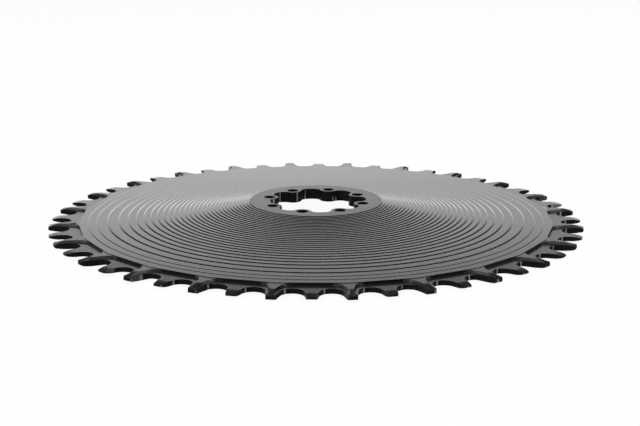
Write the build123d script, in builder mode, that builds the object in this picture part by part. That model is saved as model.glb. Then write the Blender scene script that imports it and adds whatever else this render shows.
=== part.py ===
from build123d import *
import os
from math import cos, pi, radians, sin, sqrt

# A narrow-wide bicycle chainring, machined from one aluminium plate (millimetres, +Z up).
# The origin is on the axis, on the surface that the back of the ring lies on.
# A narrow tooth and a bolt hole both stand on the +X axis.

# Tooth plate, as thick as the narrow teeth
tooth_count = 48
chain_pitch = 12.7
tip_radius = 101.0
tip_land = 3.1
seat_radius = 4.1
seating_angle = 120.0
narrow_thickness = 1.74
tip_thickness = 0.5
tip_bevel_depth = 2.4

# Ribs that make every second tooth wide, one on each face
wide_thickness = 3.24
rib_width_at_rim = 6.4
rib_width_at_tip = 2.4
rib_side_angle = 43.0
rib_tip_depth = 3.4
rib_tip_thickness = 1.1

# Rim, with a flat wall behind every narrow tooth
rim_radius = 89.2
rim_step = 0.14

# Dished front, turned in flat terraces that follow one large arc
dish_rise = 6.0
terrace_count = 8
hub_face_radius = 25.5
dish_foot_radius = 97.6
dish_foot_drop = 0.1

# Relieved back
back_rim_radius = 85.0
back_hub_radius = 30.0

# Hub with a lobed bore between the bolt bosses
hub_thickness = 4.15
bolt_count = 8
bolt_circle = 36.9
bolt_hole = 4.2
boss_radius = 3.35
lobe_radius = 19.3
key_lobe_radius = 17.4

# Worked out from the sizes above
pitch_angle = 360 / tooth_count
pitch_radius = chain_pitch / (2 * sin(pi / tooth_count))
mid_height = wide_thickness / 2
narrow_face = mid_height + narrow_thickness / 2
rim_face = wide_thickness + rim_step
hub_face = rim_face + dish_rise
hub_back = hub_face - hub_thickness
over = 1.0

# One gap between two teeth: a roller seat with a straight flank up to each tooth tip
tip_angle = pi / tooth_count - tip_land / (2 * tip_radius)
tip_x = tip_radius * cos(tip_angle) - pitch_radius
tip_y = tip_radius * sin(tip_angle)
seat_x = -seat_radius * cos(radians(seating_angle / 2))
seat_y = seat_radius * sin(radians(seating_angle / 2))
flank_lean = (tip_y - seat_y) / (tip_x - seat_x)
gap_x = tip_x + over
gap_y = tip_y + flank_lean * over

with BuildSketch() as tooth_gap:
    with BuildLine():
        ThreePointArc((seat_x, seat_y), (-seat_radius, 0), (seat_x, -seat_y))
        Polyline((seat_x, -seat_y), (gap_x, -gap_y), (gap_x, gap_y), (seat_x, seat_y))
    make_face()

# A wedge off both faces thins every tooth towards its tip.
tip_fall = (narrow_thickness - tip_thickness) / 2

with BuildPart() as tip_bevel:
    with BuildSketch(Plane.XZ):
        Polygon(
            (tip_radius - tip_bevel_depth, narrow_face),
            (tip_radius, narrow_face - tip_fall),
            (tip_radius + over, narrow_face - tip_fall),
            (tip_radius + over, narrow_face),
            align=None,
        )
    extrude(amount=chain_pitch / 4, both=True)
    mirror(about=Plane.XY.offset(mid_height))

# One pair of ribs with sloping sides, which fall away towards the tooth tip
rib_inner = rim_radius - 2 * over
rib_taper = (rib_width_at_rim - rib_width_at_tip) / (tip_radius - rim_radius)
rib_inner_width = rib_width_at_rim + rib_taper * (rim_radius - rib_inner)
rib_tip_fall = (wide_thickness - rib_tip_thickness) / 2

with BuildPart() as rib:
    with BuildSketch(Plane.XY.offset(narrow_face)):
        Polygon(
            (rib_inner, -rib_inner_width / 2),
            (tip_radius + over, -rib_width_at_tip / 2),
            (tip_radius + over, rib_width_at_tip / 2),
            (rib_inner, rib_inner_width / 2),
            align=None,
        )
    extrude(amount=wide_thickness - narrow_face, taper=rib_side_angle)
    with BuildSketch(Plane.XZ):
        Polygon(
            (tip_radius - rib_tip_depth, wide_thickness),
            (tip_radius, wide_thickness - rib_tip_fall),
            (tip_radius, 0),
            (tip_radius + 2 * over, 0),
            (tip_radius + 2 * over, wide_thickness),
            align=None,
        )
    extrude(amount=chain_pitch / 4, both=True, mode=Mode.SUBTRACT)
    mirror(about=Plane.XY.offset(mid_height))

# The dish arc passes the middle of the first riser and lies flat at its foot, just below the rim.
full_drop = dish_rise / terrace_count
drops = [full_drop] * (terrace_count - 1) + [full_drop / 2] * 2
foot_height = rim_face - dish_foot_drop
arc_rise = hub_face - full_drop / 2 - foot_height
arc_reach = dish_foot_radius - hub_face_radius
dish_arc_radius = (arc_reach**2 + arc_rise**2) / (2 * arc_rise)


def arc_radius_at(height):
    rise = height - foot_height
    return dish_foot_radius - sqrt(2 * dish_arc_radius * rise - rise**2)


stairs = [(0, rim_face), (0, hub_face)]
height = hub_face
for drop in drops:
    riser_radius = arc_radius_at(height - drop / 2)
    stairs += [(riser_radius, height), (riser_radius, height - drop)]
    height -= drop

with BuildPart() as chainring:
    # Tooth plate
    with BuildSketch(Plane.XY.offset(mid_height - narrow_thickness / 2)):
        RegularPolygon(tip_radius, tooth_count, major_radius=False, rotation=pitch_angle / 2)
        with PolarLocations(pitch_radius, tooth_count, start_angle=pitch_angle / 2):
            add(tooth_gap.sketch, mode=Mode.SUBTRACT)
    extrude(amount=narrow_thickness)
    with PolarLocations(0, tooth_count):
        add(tip_bevel.part, mode=Mode.SUBTRACT)
    with PolarLocations(0, tooth_count // 2, start_angle=pitch_angle):
        add(rib.part)

    # Rim
    with BuildSketch():
        RegularPolygon(rim_radius, tooth_count // 2, major_radius=False, rotation=pitch_angle)
    extrude(amount=rim_face)

    # Terraces, from the hub face down to the rim
    with BuildSketch(Plane.XZ):
        Polygon(*stairs, align=None)
    revolve(axis=Axis.Z)

    # Conical relief in the back
    with BuildSketch(Plane.XZ):
        Polygon(
            (0, 0),
            (0, hub_back),
            (back_hub_radius, hub_back),
            (back_rim_radius, 0),
            align=None,
        )
    revolve(axis=Axis.Z, mode=Mode.SUBTRACT)

    # Lobed bore: a round opening with a boss standing in it at every bolt, and one shallow lobe
    with BuildSketch(Plane.XY.offset(hub_back)):
        Circle(lobe_radius)
        with PolarLocations(bolt_circle / 2, bolt_count):
            Circle(boss_radius, mode=Mode.SUBTRACT)
        with PolarLocations(key_lobe_radius, 1, start_angle=180 + 180 / bolt_count):
            Rectangle(boss_radius, bolt_circle / 2, align=(Align.MIN, Align.CENTER), mode=Mode.SUBTRACT)
    extrude(amount=hub_thickness, mode=Mode.SUBTRACT)
    with PolarLocations(bolt_circle / 2, bolt_count):
        Hole(bolt_hole / 2)

chainring.part.label = "chainring"
os.makedirs("parts", exist_ok=True)
export_step(chainring.part, "parts/chainring.step")
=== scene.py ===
import bmesh
import bpy
from math import acos, atan2, cos, hypot, pi, radians, sin, sqrt
from mathutils import Matrix, Vector


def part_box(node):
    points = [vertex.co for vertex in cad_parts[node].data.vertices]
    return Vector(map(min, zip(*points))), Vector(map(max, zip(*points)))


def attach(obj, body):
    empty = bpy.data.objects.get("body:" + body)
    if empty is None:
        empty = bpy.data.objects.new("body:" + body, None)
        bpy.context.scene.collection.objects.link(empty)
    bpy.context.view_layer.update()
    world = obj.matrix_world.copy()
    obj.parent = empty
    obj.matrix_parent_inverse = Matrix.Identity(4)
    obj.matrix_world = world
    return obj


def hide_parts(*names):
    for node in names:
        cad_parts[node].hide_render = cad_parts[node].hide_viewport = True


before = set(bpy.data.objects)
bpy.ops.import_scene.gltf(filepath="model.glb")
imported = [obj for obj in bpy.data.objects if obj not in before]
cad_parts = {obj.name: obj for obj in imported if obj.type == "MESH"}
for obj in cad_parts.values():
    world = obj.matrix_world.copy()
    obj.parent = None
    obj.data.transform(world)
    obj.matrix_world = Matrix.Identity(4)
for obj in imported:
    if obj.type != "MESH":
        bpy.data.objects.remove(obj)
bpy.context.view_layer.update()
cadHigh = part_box("chainring")[1]
print("frame loaded")

# The ring is modelled in millimetres and scaled to metres at the end.
mm = 0.001

ringSize = {
    "tipRadius": cadHigh.x / mm,
    "hubFace": cadHigh.z / mm,
    "turnSteps": 240,       # steps of the lathe, a multiple of the tooth gaps
    "mergeDistance": 0.002,
    "cutDistance": 0.0001,
}

# A point within these, in millimetres and in radians, counts as on a line.
closeBy = 0.001
closeAngle = 0.0001

toothSize = {
    "count": 48,
    "pitch": 12.7,
    "land": 3.1,
    "seatRadius": 4.1,
    "seatSteps": 14,
    "wideThickness": 3.24,
    "wideTip": 1.1,         # thickness left at the tip
    "wideTipDepth": 4.8,    # and how far in from the tip the faces begin to curve down
    "narrowThickness": 1.74,
    "narrowTip": 0.5,
    "narrowTipDepth": 3.8,
    "tipSteps": 4,
    # wide tooth: distance from the axis, half width of its flat top, and of the foot of its slopes
    "flare": (
        (89.2, 4.6, 5.3),
        (89.9, 3.5, 4.2),
        (90.6, 2.7, 3.4),
        (91.6, 2.1, 2.8),
        (93.7, 1.45, 2.1),
        (97.4, 0.6, 1.2),
    ),
    "splitAngle": 3.2,      # degrees from the narrow tooth, in the gap
    "edge": 0.1,            # asked for on ribs and walls, but clamped to almost nothing
    "corner": 0.4,          # rounding at the two corners of a tip
    "chamfer": 0.1,         # asked for round the outline, and clamped as well
    "outlineStart": 92.2,   # distance from the axis at which the outline begins
}

rimSize = {
    "wall": 89.2,           # flat wall behind each narrow tooth
    "step": 0.14,           # rim above the wide teeth
    "backRadius": 85.0,
    "toothStart": 87.0,     # teeth and walls are further out than this
}

midHeight = toothSize["wideThickness"] / 2
rimFace = toothSize["wideThickness"] + rimSize["step"]
halfPitch = pi / toothSize["count"]
cornerRadius = hypot(ringSize["tipRadius"], toothSize["land"] / 2)


def vertsOf(geometry):
    return [item for item in geometry if isinstance(item, bmesh.types.BMVert)]


def lineTo(bm, last, x, y, z=0):
    vert = bm.verts.new((x, y, z))
    bm.edges.new((last, vert))
    return vert


def arcTo(bm, last, centre, angle, steps, axis=(0, 0, 1)):
    made = bmesh.ops.spin(bm, geom=[last], cent=centre, axis=axis, angle=angle, steps=steps)
    return vertsOf(made["geom_last"])[0]


def closeOutline(bm):
    bmesh.ops.remove_doubles(bm, verts=bm.verts[:], dist=ringSize["mergeDistance"])
    bmesh.ops.contextual_create(bm, geom=bm.edges[:])


def polar(radius, angle):
    return radius * cos(angle), radius * sin(angle)


def everything(bm):
    return bm.verts[:] + bm.edges[:] + bm.faces[:]


def addTo(whole, bm):
    mesh = bpy.data.meshes.new("shape")
    bm.to_mesh(mesh)
    bm.free()
    whole.from_mesh(mesh)
    bpy.data.meshes.remove(mesh)


# Half a tooth of each kind with the gap between them and the rim behind them, seen from above.
# The narrow tooth is on +X and the wide one a tooth further round.
def sectorOutline(bm, innerRadius):
    tipRadius = ringSize["tipRadius"]
    pitchRadius = toothSize["pitch"] / (2 * sin(halfPitch))
    cornerAngle = atan2(toothSize["land"] / 2, tipRadius)

    # tangent from the corner of a tip to the roller seat, measured from the middle of the gap
    cornerX, cornerY = polar(cornerRadius, halfPitch - cornerAngle)
    cornerX -= pitchRadius
    seatAngle = atan2(cornerY, cornerX) + acos(toothSize["seatRadius"] / hypot(cornerX, cornerY))
    seat = Vector(polar(pitchRadius, halfPitch)).to_3d()
    seatStart = seat + Vector(polar(toothSize["seatRadius"], halfPitch - seatAngle)).to_3d()
    wideCorner = polar(cornerRadius, 2 * halfPitch - cornerAngle)

    start = bm.verts.new((innerRadius, 0, 0))
    vert = lineTo(bm, start, tipRadius, 0)
    vert = lineTo(bm, vert, tipRadius, toothSize["land"] / 2)
    vert = lineTo(bm, vert, seatStart.x, seatStart.y)
    vert = arcTo(bm, vert, seat, 2 * seatAngle - 2 * pi, toothSize["seatSteps"])
    vert = lineTo(bm, vert, *wideCorner)
    vert = lineTo(bm, vert, *polar(tipRadius, 2 * halfPitch))
    vert = lineTo(bm, vert, *polar(innerRadius, 2 * halfPitch))
    arcTo(bm, vert, (0, 0, 0), -2 * halfPitch, ringSize["turnSteps"] // toothSize["count"])
    closeOutline(bm)


wideAlong = Vector(polar(1, 2 * halfPitch)).to_3d()
wideAcross = Vector((wideAlong.y, -wideAlong.x, 0))
ribHeight = (toothSize["wideThickness"] - toothSize["narrowThickness"]) / 2


def tipStations(kind):
    depth, steps = toothSize[kind + "TipDepth"], toothSize["tipSteps"]
    return [ringSize["tipRadius"] - depth * (1 - step / steps) for step in range(steps)]


# How far the face of a tooth has curved down
def tipDrop(kind, along):
    depth = toothSize[kind + "TipDepth"]
    full = (toothSize[kind + "Thickness"] - toothSize[kind + "Tip"]) / 2
    return full * (max(0, along - ringSize["tipRadius"] + depth) / depth) ** 2


# Half width of a wide tooth's flat top and of the foot of its slopes, which flare out towards the rim
def halvesAt(along):
    table = [Vector(row) for row in toothSize["flare"]]
    for near, far in zip(table, table[1:]):
        if along < far.x:
            return near.lerp(far, max(0, along - near.x) / (far.x - near.x)).yz
    return table[-1].yz


def footHalf(along):
    return halvesAt(along)[1]


# The curve down to the tip meets the slopes in two lines that run apart until the slopes end.
def topHalf(along):
    rib, foot = halvesAt(along)
    return rib + (foot - rib) * min(1, tipDrop("wide", along) / ribHeight)


def toothHeight(point):
    narrowHalf = toothSize["narrowThickness"] / 2
    if atan2(point.y, point.x) < radians(toothSize["splitAngle"]) - closeAngle:
        return narrowHalf - tipDrop("narrow", point.x)
    along, across = point.dot(wideAlong), point.dot(wideAcross)
    rib, foot = halvesAt(along)
    ramp = min(1, max(0, (foot - across) / (foot - rib)))
    return narrowHalf + min(ramp * ribHeight, ribHeight - tipDrop("wide", along))


def cutFaces(bm, faces, point, normal):
    geometry = dict.fromkeys(faces)
    for face in faces:
        geometry.update(dict.fromkeys(face.edges[:] + face.verts[:]))
    bmesh.ops.bisect_plane(bm, geom=list(geometry), dist=ringSize["cutDistance"],
                           plane_co=point, plane_no=normal)


def facesBeyondWall(bm, side):
    limit = radians(toothSize["splitAngle"])
    chosen = []
    for face in bm.faces:
        middle = face.calc_center_median()
        angle = atan2(middle.y, middle.x)
        if middle.x > rimSize["wall"] and (side == "both" or (angle > limit) == (side == "wide")):
            chosen.append(face)
    return chosen


# The top and the foot of the slopes are cut as straight pieces between stations along the tooth.
def cutSlopes(bm):
    depth = toothSize["wideTipDepth"]
    endShare = sqrt(ribHeight / tipDrop("wide", ringSize["tipRadius"]))
    slopeEnd = ringSize["tipRadius"] - depth * (1 - endShare)
    stations = sorted([row[0] for row in toothSize["flare"]] + tipStations("wide") + [slopeEnd])
    for station in stations[1:]:
        cutFaces(bm, facesBeyondWall(bm, "wide"), wideAlong * station, wideAlong)
    for near, far in zip(stations, stations[1:]):
        for half in (topHalf, footHalf):
            start = wideAlong * near + wideAcross * half(near)
            line = wideAlong * far + wideAcross * half(far) - start
            between = []
            for face in facesBeyondWall(bm, "wide"):
                if near < face.calc_center_median().dot(wideAlong) < far:
                    between.append(face)
            cutFaces(bm, between, start, (-line.y, line.x, 0))


def onWall(edge):
    return all(abs(v.co.x - rimSize["wall"]) < closeBy for v in edge.verts)


# The two lines where a sector meets its neighbours, along the middle of either tooth
def onToothSeam(edge):
    ends = [v.co for v in edge.verts]
    onNarrow = all(abs(p.y) < closeBy for p in ends)
    return onNarrow or all(abs(p.dot(wideAcross)) < closeBy for p in ends)


def toothRing(innerRadius, rimHeight):
    bm = bmesh.new()
    sectorOutline(bm, innerRadius)
    cutFaces(bm, bm.faces[:], (rimSize["wall"], 0, 0), (1, 0, 0))
    splitAngle = radians(toothSize["splitAngle"])
    cutFaces(bm, facesBeyondWall(bm, "both"), (0, 0, 0), (-sin(splitAngle), cos(splitAngle), 0))
    for station in tipStations("narrow"):
        cutFaces(bm, facesBeyondWall(bm, "narrow"), (station, 0, 0), (1, 0, 0))
    cutSlopes(bm)

    # the rim goes up, the teeth take their heights, and the wall closes the step between them
    wallEdges = [e for e in bm.edges if len(e.link_faces) == 2 and onWall(e)]
    bmesh.ops.split_edges(bm, edges=wallEdges)
    for face in bm.faces:
        onRim = face.calc_center_median().x < rimSize["wall"]
        for vert in face.verts:
            vert.co.z = rimHeight if onRim else toothHeight(vert.co)
    outline, wall = [], []
    for edge in bm.edges:
        if not edge.is_boundary:
            continue
        if onWall(edge):
            wall.append(edge)
        elif not onToothSeam(edge) and all(v.co.x > rimSize["wall"] for v in edge.verts):
            outline.append(edge)
    bmesh.ops.bridge_loops(bm, edges=wall)
    made = bmesh.ops.extrude_edge_only(bm, edges=outline)
    for vert in vertsOf(made["geom"]):
        vert.co.z = 0

    bmesh.ops.mirror(bm, geom=everything(bm), matrix=Matrix.Identity(4),
                     merge_dist=ringSize["mergeDistance"], axis="Y")
    sectors = toothSize["count"] // 2
    bmesh.ops.spin(bm, geom=everything(bm), axis=(0, 0, 1), angle=2 * pi * (sectors - 1) / sectors,
                   steps=sectors - 1, use_duplicate=True)
    return bm


# The turned part of the front and the back, as two profiles
dishSize = {
    "rise": 6.0,
    "terraces": 30,
    "hubRadius": 25.5,
    "footRadius": 97.6,
    "footDrop": 0.1,
    "backHubRadius": 30.0,
    "shoulder": 24.0,       # radius of the round shoulder of every step, in steps
    "shoulderShare": 0.9,   # and the share of the step that it takes
    "shoulderStart": 12,    # degrees of slope where it begins, at a crisp edge
    "shoulderSteps": 4,
}

fullDrop = dishSize["rise"] / dishSize["terraces"]
footHeight = rimFace - dishSize["footDrop"]
arcRise = ringSize["hubFace"] - fullDrop / 2 - footHeight
arcReach = dishSize["footRadius"] - dishSize["hubRadius"]
arcRadius = (arcReach ** 2 + arcRise ** 2) / (2 * arcRise)


def riserRadius(height):
    rise = height - footHeight
    return dishSize["footRadius"] - sqrt(2 * arcRadius * rise - rise ** 2)


shoulderStart = radians(dishSize["shoulderStart"])
shoulderEnd = acos(cos(shoulderStart) - dishSize["shoulderShare"] / dishSize["shoulder"])
shoulderReach = dishSize["shoulder"] * (sin(shoulderEnd) - sin(shoulderStart))


# Where the shoulder of a step begins, and where its wall stands
def treadEnd(height, drop):
    return riserRadius(height - drop / 2) - shoulderReach * drop / 2


def stepFoot(height, drop):
    return treadEnd(height, drop) + shoulderReach * drop


hubEdge = treadEnd(ringSize["hubFace"], fullDrop)
rimStart = stepFoot(rimFace + fullDrop / 2, fullDrop / 2)


def spinRound(bm):
    bmesh.ops.spin(bm, geom=bm.verts[:] + bm.edges[:], axis=(0, 0, 1), angle=2 * pi,
                   steps=ringSize["turnSteps"], use_merge=True)
    return bm


# Each tread ends at a round shoulder, and a short wall runs from there down to the next tread.
def turnFront():
    bm = bmesh.new()
    height = ringSize["hubFace"]
    vert = bm.verts.new((hubEdge, 0, height))
    for drop in [fullDrop] * (dishSize["terraces"] - 1) + [fullDrop / 2] * 2:
        edge = treadEnd(height, drop)
        if edge > hubEdge:
            vert = lineTo(bm, vert, edge, 0, height)
        radius = dishSize["shoulder"] * drop
        centre = (edge - radius * sin(shoulderStart), 0, height - radius * cos(shoulderStart))
        turn = shoulderEnd - shoulderStart
        vert = arcTo(bm, vert, centre, turn, dishSize["shoulderSteps"], axis=(0, 1, 0))
        vert = lineTo(bm, vert, stepFoot(height, drop), 0, height - drop)
        height -= drop
    bmesh.ops.remove_doubles(bm, verts=bm.verts[:], dist=ringSize["mergeDistance"])
    return spinRound(bm)


def turnBack():
    bm = bmesh.new()
    hubBack = ringSize["hubFace"] - hubSize["thickness"]
    vert = bm.verts.new((hubEdge, 0, hubBack))
    vert = lineTo(bm, vert, dishSize["backHubRadius"], 0, hubBack)
    lineTo(bm, vert, rimSize["backRadius"], 0, 0)
    return spinRound(bm)


hubSize = {
    "thickness": 4.15,
    "bolts": 8,
    "boltCircle": 36.9,
    "hole": 4.2,
    "boss": 3.35,
    "lobe": 19.3,
    "lobeFillet": 3.1,
    "keyLobe": 17.4,
    "keyFillet": 2.2,
    "keyAngle": 202.5,
    "bossSteps": 9,
    "filletSteps": 8,
    "lobeSteps": 3,
    "holeSteps": 16,
    "edge": 0.12,           # broken edge of the bore and the holes
    "margin": 0.5,          # bare strip inside the edge of the hub face
}


# Half a bolt boss with half a lobe of the bore, seen from above
def hubOutline(bm, lobe, fillet):
    boltRadius, hole, boss = hubSize["boltCircle"] / 2, hubSize["hole"] / 2, hubSize["boss"]
    half = pi / hubSize["bolts"]
    reach = lobe - fillet
    filletX = (reach ** 2 + boltRadius ** 2 - (boss + fillet) ** 2) / (2 * boltRadius)
    filletY = sqrt(reach ** 2 - filletX ** 2)
    lobeStart = atan2(filletY, filletX)
    bossTurn = pi - atan2(filletY, filletX - boltRadius)
    bolt = (boltRadius, 0, 0)

    vert = bm.verts.new((boltRadius - boss, 0, 0))
    vert = arcTo(bm, vert, bolt, -bossTurn, hubSize["bossSteps"])
    vert = arcTo(bm, vert, (filletX, filletY, 0), lobeStart + bossTurn, hubSize["filletSteps"])
    vert = arcTo(bm, vert, (0, 0, 0), half - lobeStart, hubSize["lobeSteps"])
    vert = lineTo(bm, vert, *polar(hubEdge, half))
    vert = arcTo(bm, vert, (0, 0, 0), -half, ringSize["turnSteps"] // (2 * hubSize["bolts"]))
    vert = lineTo(bm, vert, boltRadius + hole, 0)
    vert = arcTo(bm, vert, bolt, pi, hubSize["holeSteps"])
    lineTo(bm, vert, boltRadius - boss, 0)
    closeOutline(bm)


def inHub(point):
    return point.xy.length < hubEdge - hubSize["margin"]


def hubSector(lobe, fillet):
    half = pi / hubSize["bolts"]
    bm = bmesh.new()
    hubOutline(bm, lobe, fillet)
    walls = []
    for edge in bm.edges:
        ends = [v.co for v in edge.verts]
        onSeam = all(abs(p.y) < closeBy or abs(atan2(p.y, p.x) - half) < closeAngle for p in ends)
        if not onSeam and all(inHub(p) for p in ends):
            walls.append(edge)
    under = bmesh.ops.duplicate(bm, geom=everything(bm))
    bmesh.ops.translate(bm, verts=vertsOf(under["geom"]), vec=(0, 0, -hubSize["thickness"]))
    made = bmesh.ops.extrude_edge_only(bm, edges=walls)
    bmesh.ops.translate(bm, verts=vertsOf(made["geom"]), vec=(0, 0, -hubSize["thickness"]))
    bmesh.ops.translate(bm, verts=bm.verts[:], vec=(0, 0, ringSize["hubFace"]))
    return bm


def buildHub(whole):
    for bolt in range(hubSize["bolts"]):
        for side in (1, -1):
            boltAngle = 360 / hubSize["bolts"] * bolt
            lobeAngle = boltAngle + side * 180 / hubSize["bolts"]
            if abs(lobeAngle - hubSize["keyAngle"]) < 1:
                bm = hubSector(hubSize["keyLobe"], hubSize["keyFillet"])
            else:
                bm = hubSector(hubSize["lobe"], hubSize["lobeFillet"])
            turn = Matrix.Rotation(radians(boltAngle), 3, "Z")
            bmesh.ops.scale(bm, verts=bm.verts[:], vec=(1, side, 1))
            bmesh.ops.rotate(bm, verts=bm.verts[:], matrix=turn)
            addTo(whole, bm)


edgeSize = {
    "sharp": 22,            # degrees between two faces past which their edge is broken
    "square": 50,           # and past which it can be an edge of the outline
    "segments": 2,
    "flat": 0.9999,         # the normal of a flat face stands at least so high
    "upright": 0.3,         # and that of a wall stays lower than this
    "flatTurn": 3,          # degrees at which a flat face parts from a curved one
}

# The finishes, in the order in which the mesh carries them
turnedFace, milledFace, brokenEdge = range(3)


def breakEdges(bm, chosen, width):
    made = bmesh.ops.bevel(bm, geom=chosen, offset=width, offset_type="OFFSET",
                           segments=edgeSize["segments"], profile=0.5,
                           affect="EDGES", clamp_overlap=True, material=-1)
    for face in made["faces"]:
        face.material_index = brokenEdge
    return len(chosen)


def buildRing():
    whole = bmesh.new()
    addTo(whole, turnFront())
    addTo(whole, turnBack())
    buildHub(whole)
    upper = toothRing(rimStart, rimFace - midHeight)
    bmesh.ops.translate(upper, verts=upper.verts[:], vec=(0, 0, midHeight))
    addTo(whole, upper)
    lower = toothRing(rimSize["backRadius"], midHeight)
    bmesh.ops.scale(lower, verts=lower.verts[:], vec=(1, 1, -1))
    bmesh.ops.translate(lower, verts=lower.verts[:], vec=(0, 0, midHeight))
    addTo(whole, lower)

    bmesh.ops.remove_doubles(whole, verts=whole.verts[:], dist=ringSize["mergeDistance"])
    bmesh.ops.recalc_face_normals(whole, faces=whole.faces[:])
    loose = sum(not e.is_manifold for e in whole.edges)
    print("ring joined,", len(whole.faces), "faces,", loose, "open edges")
    return whole


def inTeeth(point):
    return point.xy.length > rimSize["toothStart"]


def sharpEdges(bm, region, degrees):
    chosen = []
    for edge in bm.edges:
        isSharp = edge.is_manifold and edge.calc_face_angle() > radians(degrees)
        if isSharp and all(region(v.co) for v in edge.verts):
            chosen.append(edge)
    return chosen


# The edges between the flat of a tooth and the walls of its seat, flanks and tip
def isOutline(edge):
    beyondFloor = all(v.co.xy.length > toothSize["outlineStart"] for v in edge.verts)
    return beyondFloor and any(abs(f.normal.z) < edgeSize["upright"] for f in edge.link_faces)


# Flat faces keep their own shading, and so do faces that meet at a sharp edge.
def markSharp(bm):
    bm.normal_update()
    for edge in bm.edges:
        if len(edge.link_faces) == 2:
            flat = [abs(face.normal.z) > edgeSize["flat"] for face in edge.link_faces]
            between = edge.calc_face_angle()
            leavesFlat = flat[0] != flat[1] and between > radians(edgeSize["flatTurn"])
            edge.smooth = between < radians(edgeSize["sharp"]) and not leavesFlat


def isTipCorner(edge):
    ends = [v.co for v in edge.verts]
    atCorner = all(abs(p.xy.length - cornerRadius) < closeBy for p in ends)
    return atCorner and (ends[0] - ends[1]).xy.length < closeBy


ringMesh = buildRing()
squareEdges = sharpEdges(ringMesh, inTeeth, edgeSize["square"])
tipCorners = [edge for edge in squareEdges if isTipCorner(edge)]
print("tip corners", breakEdges(ringMesh, tipCorners, toothSize["corner"]))
hubEdges = sharpEdges(ringMesh, inHub, edgeSize["sharp"])
print("hub edges", breakEdges(ringMesh, hubEdges, hubSize["edge"]))
toothEdges = sharpEdges(ringMesh, inTeeth, edgeSize["sharp"])
innerEdges = [edge for edge in toothEdges if edge.is_convex and not isOutline(edge)]
print("tooth edges", breakEdges(ringMesh, innerEdges, toothSize["edge"]))
squareEdges = sharpEdges(ringMesh, inTeeth, edgeSize["square"])
outlineEdges = [edge for edge in squareEdges if isOutline(edge)]
print("outline edges", breakEdges(ringMesh, outlineEdges, toothSize["chamfer"]))
markSharp(ringMesh)
print("edges broken,", sum(not e.is_manifold for e in ringMesh.edges), "open edges")


finish = {
    "ior": 1.3,
    "roughSpread": 0.03,
    "hubRough": 0.15,       # the hub face is left rougher than the treads
    "hubBlend": 0.0002,     # in metres, as the sizes below
    "patchSize": 0.03,
    "patchDetail": 3,
    "lineSize": 0.00012,    # width of a turning mark
    "lineDetail": 2,
    "lineBump": 0.03,
    "grainSize": 0.00025,
    "grainDetail": 2,
    "grainBump": 0.025,
    "wallSlope": 0.5,       # a face with a lower normal was milled, not turned
}

turnedLook = {
    "dark": (0.007, 0.007, 0.0074, 1),
    "light": (0.011, 0.011, 0.0115, 1),
    "roughness": 0.13,
}
milledLook = {
    "dark": (0.007, 0.007, 0.0074, 1),
    "light": (0.012, 0.012, 0.0125, 1),
    "roughness": 0.22,
}
edgeLook = {
    "dark": (0.010, 0.010, 0.0105, 1),
    "light": (0.018, 0.018, 0.0185, 1),
    "roughness": 0.10,
}


def node(tree, kind, **settings):
    made = tree.nodes.new(kind)
    for name, value in settings.items():
        setattr(made, name, value)
    return made


def ranged(tree, source, low, high, sourceLow=0, sourceHigh=1):
    made = node(tree, "ShaderNodeMapRange")
    made.inputs["From Min"].default_value = sourceLow
    made.inputs["From Max"].default_value = sourceHigh
    made.inputs["To Min"].default_value = low
    made.inputs["To Max"].default_value = high
    tree.links.new(source, made.inputs["Value"])
    return made.outputs["Result"]


def noise(tree, vector, size, detail):
    made = node(tree, "ShaderNodeTexNoise")
    made.inputs["Scale"].default_value = 1 / size
    made.inputs["Detail"].default_value = detail
    tree.links.new(vector, made.inputs["Vector"])
    return made.outputs["Fac"]


def tinted(tree, source, dark, light):
    ramp = node(tree, "ShaderNodeValToRGB")
    ramp.color_ramp.elements[0].color = dark
    ramp.color_ramp.elements[1].color = light
    tree.links.new(source, ramp.inputs["Fac"])
    return ramp.outputs["Color"]


def bumped(tree, height, size, strength):
    bump = node(tree, "ShaderNodeBump")
    bump.inputs["Strength"].default_value = strength
    bump.inputs["Distance"].default_value = size
    tree.links.new(height, bump.inputs["Height"])
    return bump


# Black anodising: patches of slightly different depth and gloss, and a fine grain
def anodised(name, look):
    material = bpy.data.materials.new(name)
    material.use_nodes = True
    tree = material.node_tree
    shader = tree.nodes["Principled BSDF"]
    shader.inputs["IOR"].default_value = finish["ior"]
    place = node(tree, "ShaderNodeTexCoord").outputs["Object"]
    patches = noise(tree, place, finish["patchSize"], finish["patchDetail"])
    tree.links.new(tinted(tree, patches, look["dark"], look["light"]), shader.inputs["Base Color"])
    smoothest = look["roughness"] - finish["roughSpread"]
    roughest = look["roughness"] + finish["roughSpread"]
    rough = ranged(tree, patches, smoothest, roughest)
    tree.links.new(rough, shader.inputs["Roughness"])
    specks = noise(tree, place, finish["grainSize"], finish["grainDetail"])
    grain = bumped(tree, specks, finish["grainSize"], finish["grainBump"])
    tree.links.new(grain.outputs["Normal"], shader.inputs["Normal"])
    return material, place, rough, grain


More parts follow.
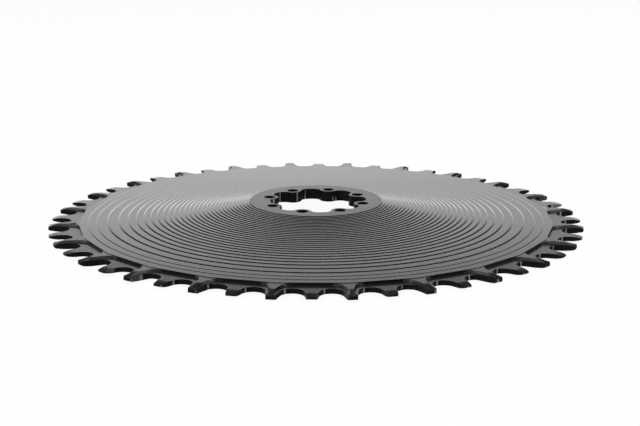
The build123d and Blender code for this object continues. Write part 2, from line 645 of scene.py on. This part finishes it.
# Fine rings left by the lathe: noise along the distance from the axis, and a rougher hub face
def turned(name, look):
    material, place, rough, grain = anodised(name, look)
    tree = material.node_tree
    shader = tree.nodes["Principled BSDF"]
    flat = node(tree, "ShaderNodeVectorMath", operation="MULTIPLY")
    flat.inputs[1].default_value = (1, 1, 0)
    tree.links.new(place, flat.inputs[0])
    radius = node(tree, "ShaderNodeVectorMath", operation="LENGTH")
    tree.links.new(flat.outputs["Vector"], radius.inputs[0])
    rings = node(tree, "ShaderNodeTexNoise", noise_dimensions="1D")
    rings.inputs["Scale"].default_value = 1 / finish["lineSize"]
    rings.inputs["Detail"].default_value = finish["lineDetail"]
    tree.links.new(radius.outputs["Value"], rings.inputs["W"])
    lines = bumped(tree, rings.outputs["Fac"], finish["lineSize"], finish["lineBump"])
    tree.links.new(grain.outputs["Normal"], lines.inputs["Normal"])
    tree.links.new(lines.outputs["Normal"], shader.inputs["Normal"])

    edge = dishSize["hubRadius"] * mm
    start = edge - finish["hubBlend"]
    onHub = ranged(tree, radius.outputs["Value"], finish["hubRough"], 0, start, edge)
    both = node(tree, "ShaderNodeMath", operation="ADD")
    tree.links.new(rough, both.inputs[0])
    tree.links.new(onHub, both.inputs[1])
    tree.links.new(both.outputs["Value"], shader.inputs["Roughness"])
    return material


turnedBlack = turned("turnedBlack", turnedLook)
milledBlack = anodised("milledBlack", milledLook)[0]
edgeBlack = anodised("edgeBlack", edgeLook)[0]
print("finishes mixed")


def finishRing(bm):
    for face in bm.faces:
        middle = face.calc_center_median()
        isMilled = middle.xy.length > rimSize["wall"] or abs(face.normal.z) < finish["wallSlope"]
        if face.material_index != brokenEdge:
            face.material_index = milledFace if isMilled else turnedFace
        face.smooth = True
    bmesh.ops.scale(bm, verts=bm.verts[:], vec=(mm, mm, mm))
    mesh = bpy.data.meshes.new("chainringSkin")
    bm.to_mesh(mesh)
    bm.free()
    for material in (turnedBlack, milledBlack, edgeBlack):
        mesh.materials.append(material)
    skin = bpy.data.objects.new("chainringSkin", mesh)
    bpy.context.scene.collection.objects.link(skin)
    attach(skin, "root")
    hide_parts("chainring")
    print("ring finished,", sum(len(p.vertices) - 2 for p in mesh.polygons), "triangles")


finishRing(ringMesh)


stageLook = {
    "floorSize": 6.0,
    "floorDrop": 0.0001,    # clear of the back of the rim
    "floorColour": (0.9, 0.9, 0.9, 1),
    "floorGlow": 0.95,      # share of the floor that is plain white to the camera
    "ambient": 0.35,
    # what a gloss shows behind the ring: a white sweep, as (height, strength)
    "sweep": ((-0.4, 0.1), (-0.2, 0.5), (0.0, 0.7), (0.06, 1.0), (0.25, 1.0), (0.36, 0.14), (1.0, 0.12)),
    # and how it falls off from the middle to the right, as (place, share)
    "across": ((0.0, 1.0), (0.15, 0.8), (0.35, 0.8), (0.4, 0.08), (0.7, 0.08), (0.9, 1.0)),
    "sweepEdge": (0.1, 0.7),    # from the room in front to the sweep
    "room": 1.0,
    "ground": 0.12,
    "horizon": 0.02,        # half the height over which ground turns to room
}


# 1 for what the camera, a gloss or a glass looks at, 0 for light that falls on things
def onlySeen(tree, names=("Is Camera Ray", "Is Glossy Ray", "Is Transmission Ray")):
    path = node(tree, "ShaderNodeLightPath")
    seen = path.outputs[names[0]]
    for name in names[1:]:
        either = node(tree, "ShaderNodeMath", operation="MAXIMUM")
        tree.links.new(seen, either.inputs[0])
        tree.links.new(path.outputs[name], either.inputs[1])
        seen = either.outputs["Value"]
    return seen


def buildFloor():
    bm = bmesh.new()
    bmesh.ops.create_grid(bm, x_segments=1, y_segments=1, size=stageLook["floorSize"] / 2)
    bmesh.ops.translate(bm, verts=bm.verts[:], vec=(0, 0, -stageLook["floorDrop"]))
    mesh = bpy.data.meshes.new("floor")
    bm.to_mesh(mesh)
    bm.free()
    floor = bpy.data.objects.new("floor", mesh)
    bpy.context.scene.collection.objects.link(floor)
    material = bpy.data.materials.new("paleFloor")
    material.use_nodes = True
    tree = material.node_tree
    tree.nodes.remove(tree.nodes["Principled BSDF"])
    matte = node(tree, "ShaderNodeBsdfDiffuse")
    matte.inputs["Color"].default_value = stageLook["floorColour"]
    white = node(tree, "ShaderNodeEmission")
    white.inputs["Strength"].default_value = 1
    share = node(tree, "ShaderNodeMath", operation="MULTIPLY")
    share.inputs[1].default_value = stageLook["floorGlow"]
    tree.links.new(onlySeen(tree), share.inputs[0])
    mix = node(tree, "ShaderNodeMixShader")
    tree.links.new(share.outputs["Value"], mix.inputs["Fac"])
    tree.links.new(matte.outputs["BSDF"], mix.inputs[1])
    tree.links.new(white.outputs["Emission"], mix.inputs[2])
    tree.links.new(mix.outputs["Shader"], tree.nodes["Material Output"].inputs["Surface"])
    mesh.materials.append(material)
    floor.visible_glossy = False


def stepped(tree, source, stops):
    ramp = node(tree, "ShaderNodeValToRGB")
    while len(ramp.color_ramp.elements) < len(stops):
        ramp.color_ramp.elements.new(0.5)
    for stop, (place, strength) in zip(ramp.color_ramp.elements, stops):
        stop.position = (place + 1) / 2
        stop.color = (strength, strength, strength, 1)
    tree.links.new(ranged(tree, source, 0, 1, -1, 1), ramp.inputs["Fac"])
    return ramp.outputs["Color"]


def towards(tree, direction, goal):
    made = node(tree, "ShaderNodeVectorMath", operation="DOT_PRODUCT")
    made.inputs[1].default_value = goal
    tree.links.new(direction, made.inputs[0])
    return made.outputs["Value"]


def studioAround(tree):
    direction = node(tree, "ShaderNodeTexCoord").outputs["Generated"]
    turn = radians(cameraView["azimuth"])
    up = towards(tree, direction, (0, 0, 1))
    behind = towards(tree, direction, (-sin(turn), cos(turn), 0))
    right = towards(tree, direction, (cos(turn), sin(turn), 0))
    pick = node(tree, "ShaderNodeMix")
    horizon = stageLook["horizon"]
    front = ranged(tree, up, stageLook["ground"], stageLook["room"], -horizon, horizon)
    tree.links.new(ranged(tree, behind, 0, 1, *stageLook["sweepEdge"]), pick.inputs["Factor"])
    tree.links.new(front, pick.inputs["A"])
    tree.links.new(stepped(tree, up, stageLook["sweep"]), pick.inputs["B"])
    faded = node(tree, "ShaderNodeMath", operation="MULTIPLY")
    tree.links.new(pick.outputs["Result"], faded.inputs[0])
    tree.links.new(stepped(tree, right, stageLook["across"]), faded.inputs[1])
    return faded.outputs["Value"]


def buildWorld():
    world = bpy.data.worlds.new("paleStudio")
    bpy.context.scene.world = world
    world.use_nodes = True
    tree = world.node_tree
    back = tree.nodes["Background"]
    back.inputs["Color"].default_value = (1, 1, 1, 1)
    pick = node(tree, "ShaderNodeMix")
    tree.links.new(onlySeen(tree, ["Is Glossy Ray"]), pick.inputs["Factor"])
    tree.links.new(ranged(tree, onlySeen(tree), stageLook["ambient"], 1), pick.inputs["A"])
    tree.links.new(studioAround(tree), pick.inputs["B"])
    tree.links.new(pick.outputs["Result"], back.inputs["Strength"])


# Directions are degrees round from the camera, to the right.
# The strip is under the floor and shows only in the gloss of upright walls.
lamps = {
    "key": {"round": -70, "height": 0.9, "away": 0.9, "size": (0.7, 0.7), "power": 4},
    "fill": {"round": 92, "height": 0.85, "away": 0.67, "size": (0.6, 0.6), "power": 4},
    "top": {"round": 0, "height": 1.1, "away": 0.1, "size": (1.0, 1.0), "power": 4},
    "strip": {"round": 65, "height": -0.3, "away": 1.2, "size": (0.24, 0.3), "power": 4},
    "back": {"round": 186, "height": 0.3, "away": 2.0, "size": (2.0, 0.6), "power": 2.3},
    "low": {"round": 186, "height": 0.14, "away": 1.8, "size": (1.8, 0.2), "power": 0.8},
}


def buildLamps():
    for name, lamp in lamps.items():
        light = bpy.data.lights.new(name, "AREA")
        light.shape = "RECTANGLE"
        light.size, light.size_y = lamp["size"]
        light.energy = lamp["power"]
        bulb = bpy.data.objects.new(name, light)
        turn = radians(cameraView["azimuth"] + lamp["round"])
        bulb.location = (lamp["away"] * sin(turn), -lamp["away"] * cos(turn), lamp["height"])
        bulb.rotation_euler = (-bulb.location).to_track_quat("-Z", "Y").to_euler()
        bulb.visible_camera = False
        bpy.context.scene.collection.objects.link(bulb)


cameraView = {
    "azimuth": 15.74,       # degrees round from -Y
    "elevation": 14.30,
    "distance": 0.55245,
    "aim": midHeight * mm,
    "lens": 81.1,
    "sensor": 36,
    "shift": (0.0066, 0.0105),
    "clipStart": 0.01,
}


def buildCamera():
    lens = bpy.data.cameras.new("camera")
    lens.sensor_width = cameraView["sensor"]
    lens.lens = cameraView["lens"]
    lens.shift_x, lens.shift_y = cameraView["shift"]
    lens.clip_start = cameraView["clipStart"]
    azimuth = radians(cameraView["azimuth"])
    elevation = radians(cameraView["elevation"])
    away = Vector((sin(azimuth) * cos(elevation), -cos(azimuth) * cos(elevation), sin(elevation)))
    camera = bpy.data.objects.new("camera", lens)
    camera.location = away * cameraView["distance"] + Vector((0, 0, cameraView["aim"]))
    camera.rotation_euler = (-away).to_track_quat("-Z", "Y").to_euler()
    bpy.context.scene.collection.objects.link(camera)
    bpy.context.scene.camera = camera


buildFloor()
buildWorld()
buildLamps()
buildCamera()
bpy.context.scene.view_settings.view_transform = "Standard"
print("stage, lamps and camera set")
